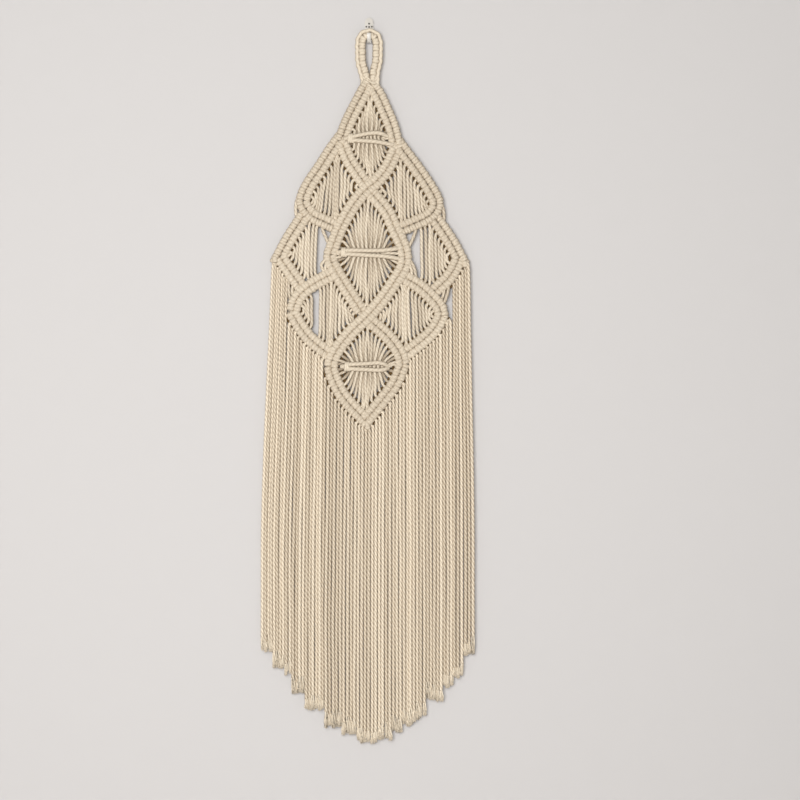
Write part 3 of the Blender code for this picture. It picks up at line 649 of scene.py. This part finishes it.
HANGING_LAY = (19.0, 22.0)
HANGING_ROOT = (0.75, 9.0)  # how much thinner a cord is at a knot, and for how long
HANGING_STRAY = 0.7         # how far to a side its middle may be
HANGING_LAYERS = (-0.5, 0.6)  # how far out it hangs, every second cord
HANGING_RISE = ((0.0, 0.15, 0.85, 1.0), (0.5, 1.0, 1.0, 0.5))  # part of that, along the cord
HIDDEN_OFF = 5.8            # from a row's middle to the knots' backs beside it
HIDDEN_BACK = 4.6
HIDDEN_RADIUS = 2.4
HIDDEN_SHADES = (4.0, 0.3)  # painted shade: how dark in front, where the holes show them, and behind
LEAVE_KNOT = 7.6            # how far out of the row a cord bends, and by how much
BEND_DOWN = 2.6


def knots_along(count, name, side, first, last):
    """Even knots on one side of a bar between two values of "down": the place of each, and the way
    square out of the bar there."""
    line = smooth_line(BAR_LINES[name], FINE_STEP)
    out = side_directions(line) * side
    length = lengths_along(line)
    places = np.linspace(*np.interp((first, last), line[:, 1], length), count)
    return values_at(places, length, line + out * INNER.offset), values_at(places, length, out)


def hidden_cord(starts, leaves):
    """The knots' backs behind the small holes beside a bar, painted dark in front as the holes' shade.
    """
    route = smooth_line(starts + leaves * HIDDEN_OFF, HIDDEN_STEP)
    path = in_space(route, -HIDDEN_BACK)
    cord = cord_rings(path, radius=HIDDEN_RADIUS, points=HIDDEN_POINTS)
    in_front = cord["ring"][..., 1] < path[:, None, 1]
    cord["valley"] = np.where(in_front, *HIDDEN_SHADES)
    return cord


def hanging_cord(route, out, radius=HANGING_RADIUS):
    """One cord at (across, down) places, a little different from the next in twist and tone."""
    path = in_space(route, out)
    length = lengths_along(path) / MM
    thinner = HANGING_ROOT[0] * np.exp(-np.minimum(length, length[-1] - length) / HANGING_ROOT[1])
    return cord_rings(path, radius=radius - thinner, phase=random.uniform(0, 6),
                      lay=random.uniform(*HANGING_LAY), valley=HANGING_VALLEY, tone=random.uniform(0, 1))


hanging = []
for across, high, low in DARK_CORNERS:
    hanging.append(hidden_cord(np.array([(across, high), (across, low)]), np.zeros((2, 2))))
for count, upper, lower in HANGING_CORDS:
    starts, leaves = knots_along(count, *upper)
    ends, enters = knots_along(count, *lower)
    hanging += [hidden_cord(starts, leaves), hidden_cord(ends, enters)]
    for index, (start, leave, end, enter) in enumerate(zip(starts, leaves, ends, enters)):
        high = start + leave * LEAVE_KNOT + (0.0, BEND_DOWN)
        deep = end + enter * LEAVE_KNOT - (0.0, BEND_DOWN)
        middle = (high + deep) / 2 + (random.uniform(-HANGING_STRAY, HANGING_STRAY), 0.0)
        route = smooth_line([start, high, middle, deep, end], CORD_STEP)
        rise = np.interp(np.linspace(0, 1, len(route)), *HANGING_RISE)
        hanging.append(hanging_cord(route, rise * HANGING_LAYERS[index % 2]))
for places in LOOSE_CORDS:
    route = smooth_line(places, CORD_STEP)
    hanging.append(hanging_cord(route[:, :2], route[:, 2]))
cord_piece("hanging_cords", hanging, panel_cotton, "knotted_panel")


# Gathered cords. In the three tall diamonds the cords are drawn in to a waist by a tie, so they
# fan out above and below it, and lie in two layers at the waist.

# The same, and the waist: down, its middle across, and from cord to cord.
GATHERED_CORDS = (
    (8, ("roof_1_left", 1, 86.0, 145.0), ("over_1_left", 1, 212.0, 163.0), (151.0, -1.0, 2.6)),
    (8, ("roof_1_right", -1, 86.0, 150.0), ("over_1_right", -1, 213.0, 164.0), (151.0, -1.0, 2.6)),
    (11, ("over_1_right", 1, 230.0, 310.0), ("over_1_right", 1, 389.0, 319.0), (312.0, -2.0, 2.7)),
    (11, ("over_2_right", -1, 233.0, 309.0), ("over_2_right", -1, 391.0, 321.0), (312.0, -2.0, 2.7)),
    (10, ("over_2_right", 1, 409.0, 466.0), ("tip_left", 1, 539.0, 477.0), (471.0, -2.5, 2.8)),
    (10, ("over_2_left", -1, 411.0, 464.0), ("tip_right", -1, 539.0, 473.0), (471.0, -2.5, 2.8)),
)
GATHERED_RADIUS = 2.45
GATHERED_OUT = 0.5
GATHER_BEND = 0.55          # a cord bends at this part of its way to the waist,
GATHER_PULL = 0.2           # and is nearer to it there by this part of its way across
WAIST_LAYER = 1.7           # how far in front of and behind their middle the two layers lie
WAIST_REACH = 26.0          # for about this far above and below it
WAIST_SHADE = 0.75          # painted shade on the back layer between the front one's cords

gathered = []
for count, upper, lower, (waist_down, waist_middle, waist_pitch) in GATHERED_CORDS:
    side = upper[1]
    starts, leaves = knots_along(count, *upper)
    ends, enters = knots_along(count, *lower)
    gathered += [hidden_cord(starts, leaves), hidden_cord(ends, enters)]
    for index, (start, leave, end, enter) in enumerate(zip(starts, leaves, ends, enters)):
        waist = np.array([waist_middle - side * (index + 0.5) * waist_pitch, waist_down])
        high = start + (waist - start) * (GATHER_BEND + GATHER_PULL, GATHER_BEND)
        deep = end + (waist - end) * (GATHER_BEND + GATHER_PULL, GATHER_BEND)
        route = smooth_line([start, start + leave * LEAVE_KNOT, high, waist, deep,
                             end + enter * LEAVE_KNOT, end], CORD_STEP)
        layer = WAIST_LAYER if (index + (side > 0)) % 2 else -WAIST_LAYER
        near_waist = np.exp(-((route[:, 1] - waist_down) / WAIST_REACH) ** 2)
        cord = hanging_cord(route, GATHERED_OUT + layer * near_waist, GATHERED_RADIUS)
        # Painted shade: the back layer darkens near the waist, where the front one's cords cover it.
        if layer < 0:
            cord["valley"] = np.maximum(cord["valley"], WAIST_SHADE * near_waist[:, None])
        gathered.append(cord)
cord_piece("gathered_cords", gathered, panel_cotton, "knotted_panel")


# Ties. A doubled cord is passed round each waist: two runs lie across the front, drawn into a
# small knot at the left, one run lies behind, and their ends go into the bars.

TIES = (
    # small knot, upper run, lower run, and the run behind: (across, down)
    ((-25.0, 152.4), ((-19.5, 149.4), (-5.3, 146.4), (8.7, 144.8), (18.1, 146.2), (27.0, 150.0)),
     ((-21.3, 155.0), (-5.3, 156.0), (8.7, 157.0), (18.2, 158.6), (34.0, 161.0)), 33.0),
    ((-34.8, 311.6), ((-28.1, 308.8), (-1.4, 309.2), (18.8, 309.0), (32.2, 307.4), (43.0, 305.5)),
     ((-28.1, 314.2), (-1.4, 315.8), (18.8, 317.0), (32.2, 318.6), (46.0, 321.5)), 44.0),
    ((-30.0, 471.2), ((-26.0, 468.2), (-3.8, 467.2), (11.5, 466.0), (20.0, 467.4), (27.0, 470.5)),
     ((-26.0, 474.2), (-3.8, 475.4), (11.5, 476.2), (20.0, 475.6), (27.5, 473.0)), 41.0),
)
TIE_RADIUS = 3.3
TIE_VALLEY = 0.93
TIE_FRONT = 5.4             # how far out the runs in front lie, and the one behind
TIE_BACK = -5.2
TIE_REACH = 9.0             # length of the stretch that goes into the bar at an end
TIE_SEATS = (1.0, 1.5, -2.0)  # how far out it goes in: left, right and behind
TIE_APART = 3.0             # between the two runs at the small knot
SMALL_KNOT_TURNS = 2.2
SMALL_KNOT_STEPS = 32
SMALL_KNOT_WIDTH = 6.0
SMALL_KNOT_HALF = (5.4, 3.0)  # half its height and half its depth
SMALL_KNOT_OUT = 4.4
SMALL_KNOT_RADIUS = 2.2

left_seat, right_seat, back_seat = TIE_SEATS
tie_cords = []
for (across, down), upper, lower, far_end in TIES:
    for number, run in enumerate((upper, lower)):
        into_knot = (across - 1.0, down + (number - 0.5) * TIE_APART, TIE_FRONT)
        places = [(across - TIE_REACH, down, left_seat), into_knot]
        places += [(*place, TIE_FRONT) for place in run[:-1]]
        places.append((*run[-1], right_seat))
        tie_cords.append(cord_rings(path_through(places, CORD_STEP), radius=TIE_RADIUS,
                                    phase=number, valley=TIE_VALLEY, tone=0.7))
    path = path_through((
        (across - TIE_REACH, down, back_seat), (across - 2.0, down, TIE_BACK), (0.0, down, TIE_BACK),
        (far_end - TIE_REACH, down, TIE_BACK), (far_end, down, back_seat)), LINE_STEP)
    tie_cords.append(cord_rings(path, tone=0.5))
    turn = np.linspace(0.0, SMALL_KNOT_TURNS * 2 * math.pi, SMALL_KNOT_STEPS)
    route = np.column_stack([across + SMALL_KNOT_WIDTH * (turn / turn[-1] - 0.5),
                             down + SMALL_KNOT_HALF[0] * np.cos(turn)])
    path = in_space(route, SMALL_KNOT_OUT + SMALL_KNOT_HALF[1] * np.sin(turn))
    tie_cords.append(cord_rings(path, radius=SMALL_KNOT_RADIUS, valley=WRAP_VALLEY, tone=0.2))
cord_piece("ties", tie_cords, panel_cotton, "knotted_panel")


# Fringe. Each lower edge ends in one more knot row, whose cords hang to the bottom. They are cut
# by hand, a little unevenly, and the cut ends have opened into their plies and fibres.

# Node, lower edges, cords, and the first and last cord's place across, at the knots and the cut ends.
FRINGES = (
    ("fringe_wing_left", ("wing_left",), 7, (-134.2, -115.8), (-149.0, -124.4)),
    ("fringe_side_left", ("side_left",), 12, (-112.0, -66.0), (-120.3, -69.2)),
    ("fringe_tip", ("tip_left", "tip_right"), 25, (-61.5, 53.4), (-65.2, 54.1)),
    ("fringe_side_right", ("side_right",), 13, (58.0, 114.0), (58.2, 115.3)),
    ("fringe_wing_right", ("wing_right",), 6, (119.0, 139.0), (119.6, 145.5)),
)
# Small knots that hold the cords at a row's end: across, and down at the top and the bottom.
END_KNOTS = {
    "fringe_wing_left": (-131.5, 318.5, 326.0),
    "fringe_tip": (-2.0, 552.0, 560.0),
    "fringe_wing_right": (134.4, 325.0, 333.0),
}
# The fringe is cut in steps: right edge of each step across, and how far down it is cut.
FRINGE_CUTS = (
    (-134.4, 869.0), (-119.0, 893.0), (-109.0, 903.0), (-92.4, 928.0), (-63.0, 951.0), (-36.4, 976.0),
    (-16.8, 985.5), (14.0, 997.5), (29.4, 992.5), (49.0, 983.0), (61.0, 973.0), (70.0, 968.0),
    (79.8, 961.0), (88.2, 936.0), (103.6, 939.5), (117.6, 919.0), (131.6, 906.0), (160.0, 874.5),
)
END_KNOT_PITCH = 3.7
END_KNOT_HALF = (2.6, 2.8)
FRINGE_RADIUS = 2.6
FRINGE_VALLEY = 0.76
FRINGE_LAY = (19.5, 22.5)
FRINGE_STEP = 1.9
FRINGE_LEAVE = 6.2          # how far out of the row a cord has bent down, and by how much
FRINGE_SAG = 2.5
FRINGE_FALL = (3.0, 0.5)    # it hangs straight from this far below, and more by its way across
FRINGE_ROOT = (0.8, 8.0)    # how much thinner a cord is at its knot, and for how long
FRINGE_LAYERS = (-0.9, 1.1)  # how far out it hangs, every second cord
FRINGE_SWAY = (0.4, 70.0)   # how far it sways out and in, and over what length
FRINGE_BENDS = (0.16, 0.32, 0.5, 0.68, 0.85, 1.0)  # parts of its way down
FRINGE_DRIFT = 1.6          # how fast it comes to its end's place across
FRINGE_WANDER = 0.4         # and how far it may wander
RAGGED = 1.6                # how unevenly a step is cut
RAGGED_TURN = 2.4
TIP_DROP = 6.5              # how far the tip's row is below the panel's

# The second colour of each is painted shade, in the ply valleys and between cords.
fringe_cotton = cotton("fringe_cotton", (0.95, 0.845, 0.69, 1.0), (0.17, 0.105, 0.045, 1.0),
                       strand_change=0.25, shade_depth=0.62)
loose_cotton = cotton("loose_fibres", (0.88, 0.80, 0.67, 1.0), (0.48, 0.37, 0.24, 1.0))


def outer_side(edges):
    return 1 if edges[0].endswith("right") else -1


def fringe_row(edges):
    """Middle line of the row that carries the fringe. The tip's goes down one edge and up the other."""
    if len(edges) == 1:
        return row_line(edges, outer_side(edges), INNER, not edges[0].startswith("wing"), True)
    left, right = (smooth_line(BAR_LINES[name], LINE_STEP) for name in edges)
    left = left - INNER.offset * side_directions(left)
    right = right + INNER.offset * side_directions(right)
    tip = np.array([BAR_LINES[edges[0]][-1]]) + (0.0, TIP_DROP)
    points = np.vstack([left[:-3:4], tip, right[:-3:4][::-1]])
    return reach_under(smooth_line(points, LINE_STEP), True, True)


TUFT = (12.0, 24.0)         # length of a cord's opened end
TUFT_START = 1.5            # how far up the cord it starts
TUFT_OPEN = (0.7, 1.15)     # how far it opens sideways, of the spread
TUFT_SPREAD = 3.1
TUFT_DEPTH = 2.3
TUFT_LEAN = 1.2
TUFT_FIBRES = 66
PLY_APART = (1.1, 1.6)      # a ply's distance from the middle, and how much more at last
PLY_RADII = (1.3, 0.7)      # its radius, and how much thinner it is at last
PLY_PART = 0.8              # its length, of the tuft's
FIBRE_RADIUS = 0.3
FIBRE_START = 1.9           # the fibres start within this of the cord's middle
FIBRE_STRAY = 0.5
FIBRE_CURL = 0.7
FIBRE_HIGHEST = 0.6         # a fibre starts at most this far down the tuft
FIBRE_UNEVEN = 0.9          # how unevenly the fibres are cut


def tuft(path, turn, length, tone):
    """A cut end: three short plies that part, in a blunt brush of loose fibres."""
    top = path[-1] + (0.0, 0.0, TUFT_START * MM)
    cut = path[-1][2] - length * MM
    spread = random.uniform(*TUFT_OPEN) * TUFT_SPREAD * MM
    lean = random.uniform(-TUFT_LEAN, TUFT_LEAN) * MM
    strands = []
    t = np.linspace(0.0, 1.0, 6)
    away = (PLY_APART[0] + PLY_APART[1] * t) * MM
    for ply in range(PLIES):
        angle = turn + ply * 2 * math.pi / PLIES
        line = np.column_stack([top[0] - np.sin(angle - t) * away + lean * t,
                                top[1] - np.cos(angle - t) * away * 0.7,
                                top[2] - t * length * MM * PLY_PART])
        strands.append(cord_rings(line, radius=PLY_RADII[0] - PLY_RADII[1] * t, points=6,
                                  valley=1.0, tone=tone))
    t = np.linspace(0.0, 1.0, 5)
    flow = t ** 1.4
    for _ in range(TUFT_FIBRES):
        angle = random.uniform(0, 2 * math.pi)
        reach = math.sqrt(random.uniform(0, 1))
        away = np.array([math.cos(angle), math.sin(angle)]) * reach
        start = away * FIBRE_START * MM
        end = away * (spread, TUFT_DEPTH * MM) + random.uniform(-FIBRE_STRAY, FIBRE_STRAY, 2) * MM
        curl = random.uniform(-FIBRE_CURL, FIBRE_CURL, 2) * MM
        high = top[2] - random.uniform(0, FIBRE_HIGHEST) * length * MM
        low = cut + random.normal(0, FIBRE_UNEVEN) * MM
        hair = np.column_stack([
            top[0] + start[0] + (end[0] - start[0] + lean) * flow + curl[0] * np.sin(5 * t),
            top[1] + start[1] + (end[1] - start[1]) * flow + curl[1] * np.sin(4 * t),
            high + (low - high) * t])
        strands.append(cord_rings(hair, radius=FIBRE_RADIUS * (1.1 - 0.4 * t), points=3, valley=1.0,
                                  tone=random.uniform(0, 0.6)))
    return strands


for node, edges, count, tops, bottoms in FRINGES:
    line = fringe_row(edges)
    leave = side_directions(line) * outer_side(edges)
    exits = line + leave * FRINGE_LEAVE
    knots = knot_row(line, outer_side(edges), INNER, True, True)
    knots.append(hidden_cord(line[::4], leave[::4]))
    cords, ends = [], []
    places_across = zip(np.linspace(*tops, count), np.linspace(*bottoms, count))
    for index, (across, end_across) in enumerate(places_across):
        nearest = 2 + int(np.argmin(np.abs(exits[2:, 0] - across)))
        out_of_row = exits[nearest] + (0.0, FRINGE_SAG)
        bend = out_of_row[1] + FRINGE_FALL[0] + FRINGE_FALL[1] * abs(out_of_row[0] - across)
        cut = next(down for edge, down in FRINGE_CUTS if end_across < edge)
        cut += RAGGED * math.sin(index * RAGGED_TURN)
        tuft_length = random.uniform(*TUFT)
        places = [line[nearest], out_of_row, (across, bend)]
        for part in FRINGE_BENDS:
            drift = (end_across - across) * min(1.0, part * FRINGE_DRIFT)
            drift += random.uniform(-1, 1) * FRINGE_WANDER
            places.append((across + drift, bend + (cut - bend) * part))
        route = smooth_line(places, FRINGE_STEP)
        route = route[route[:, 1] < cut - tuft_length]
        sway = FRINGE_SWAY[0] * np.sin(route[:, 1] / FRINGE_SWAY[1] + index)
        path = in_space(route, FRINGE_LAYERS[index % 2] + sway)
        length = lengths_along(path)
        lay = random.uniform(*FRINGE_LAY)
        phase = random.uniform(0, 6)
        tone = random.uniform(0, 1)
        thinner = FRINGE_ROOT[0] * np.exp(-length / (FRINGE_ROOT[1] * MM))
        cords.append(cord_rings(path, radius=FRINGE_RADIUS - thinner, lay=lay, phase=phase,
                                valley=FRINGE_VALLEY, tone=tone))
        turn = phase - 2 * math.pi * length[-1] / (lay * MM)
        ends += tuft(path, turn, tuft_length, tone)
    if node in END_KNOTS:
        across, high, low = END_KNOTS[node]
        down_line = smooth_line(((across, high), (across, low)), LINE_STEP)
        path, outward = coil(down_line, END_KNOT_PITCH, *END_KNOT_HALF, hand=1)
        knots.append(cord_rings(path, outward=outward, flat=WRAP_FLAT, valley=WRAP_VALLEY, tone=0.6))
    cord_piece(node + "_knots", knots, panel_cotton, node)
    cord_piece(node + "_cords", cords, fringe_cotton, node)
    cord_piece(node + "_cut_ends", ends, loose_cotton, node)


# Wall, floor, light and camera. The hanging is seen straight on against a pale matt wall, in soft
# daylight from the front, a little above and to the left. The wall can't be seen from behind.

PIXEL = 1.4 * MM            # one photograph pixel on the hanging
PICTURE_MIDDLE = (31.0 * PIXEL, -370.0 * PIXEL)  # across and up from the hook
PICTURE_WIDTH = 800.0 * PIXEL
CAMERA_AWAY = 2.6
STAGE_SIZE = 8.0
WALL_BEHIND = 0.5 * MM
FLOOR_HEIGHT = -1.5

wall_paint, nodes, links, shader = new_material("wall_paint")
shader.inputs["Base Color"].default_value = (0.603, 0.593, 0.600, 1.0)
shader.inputs["Roughness"].default_value = 0.9
shader.inputs["Specular IOR Level"].default_value = 0.1
clear = nodes.new("ShaderNodeBsdfTransparent")
back = nodes.new("ShaderNodeNewGeometry")
choice = nodes.new("ShaderNodeMixShader")
links.new(back.outputs["Backfacing"], choice.inputs["Fac"])
links.new(shader.outputs["BSDF"], choice.inputs[1])
links.new(clear.outputs["BSDF"], choice.inputs[2])
links.new(choice.outputs["Shader"], nodes["Material Output"].inputs["Surface"])

floor_paint, _, _, shader = new_material("floor_paint")
shader.inputs["Base Color"].default_value = (0.72, 0.70, 0.68, 1.0)
shader.inputs["Roughness"].default_value = 0.8


def stage_plane(name, location, rotation, material):
    bpy.ops.mesh.primitive_plane_add(size=STAGE_SIZE, location=location, rotation=rotation)
    plane = bpy.context.active_object
    plane.name = name
    plane.data.materials.append(material)


stage_plane("wall", (0.0, WALL_BEHIND, 0.0), (math.radians(90), 0.0, 0.0), wall_paint)
stage_plane("floor", (0.0, 0.0, FLOOR_HEIGHT), (0.0, 0.0, 0.0), floor_paint)


LIGHT_SIZE = 1.6
DAYLIGHT = (1.0, 0.985, 0.96)


def soft_light(name, location, target, power):
    light = bpy.data.lights.new(name, "AREA")
    light.size = LIGHT_SIZE
    light.energy = power
    light.color = DAYLIGHT
    lamp = new_object(name, light)
    lamp.location = location
    lamp.rotation_euler = (Vector(target) - Vector(location)).to_track_quat("-Z", "Y").to_euler()
    return lamp


soft_light("window", (-0.45, -2.9, -0.25), (0.0, 0.0, -0.6), 78.0)

# A second light shows the back. Only the hanging and its hook block it, not the wall, and it lights
# nothing by bounces, so the front hardly changes.
behind = soft_light("from_behind", (0.6, 2.9, 0.2), (0.0, 0.0, -0.5), 60.0)
hung = bpy.data.collections.new("hung on the wall")
for piece in bpy.context.scene.objects:
    if piece.type == "MESH" and piece.name not in ("wall", "floor"):
        hung.objects.link(piece)
behind.light_linking.blocker_collection = hung
behind.data.cycles.max_bounces = 0

bpy.context.scene.view_settings.view_transform = "Standard"
world = bpy.data.worlds.new("daylight")
bpy.context.scene.world = world
world.use_nodes = True
sky = world.node_tree.nodes["Background"]
sky.inputs["Color"].default_value = (1.0, 0.96, 0.88, 1.0)
sky.inputs["Strength"].default_value = 0.3

camera = bpy.data.cameras.new("camera")
camera.sensor_width = 36.0
camera.lens = camera.sensor_width * CAMERA_AWAY / PICTURE_WIDTH
eye = new_object("camera", camera)
eye.location = (PICTURE_MIDDLE[0], MIDDLE_Y - CAMERA_AWAY, PICTURE_MIDDLE[1])
eye.rotation_euler = (math.radians(90), 0.0, 0.0)
bpy.context.scene.camera = eye
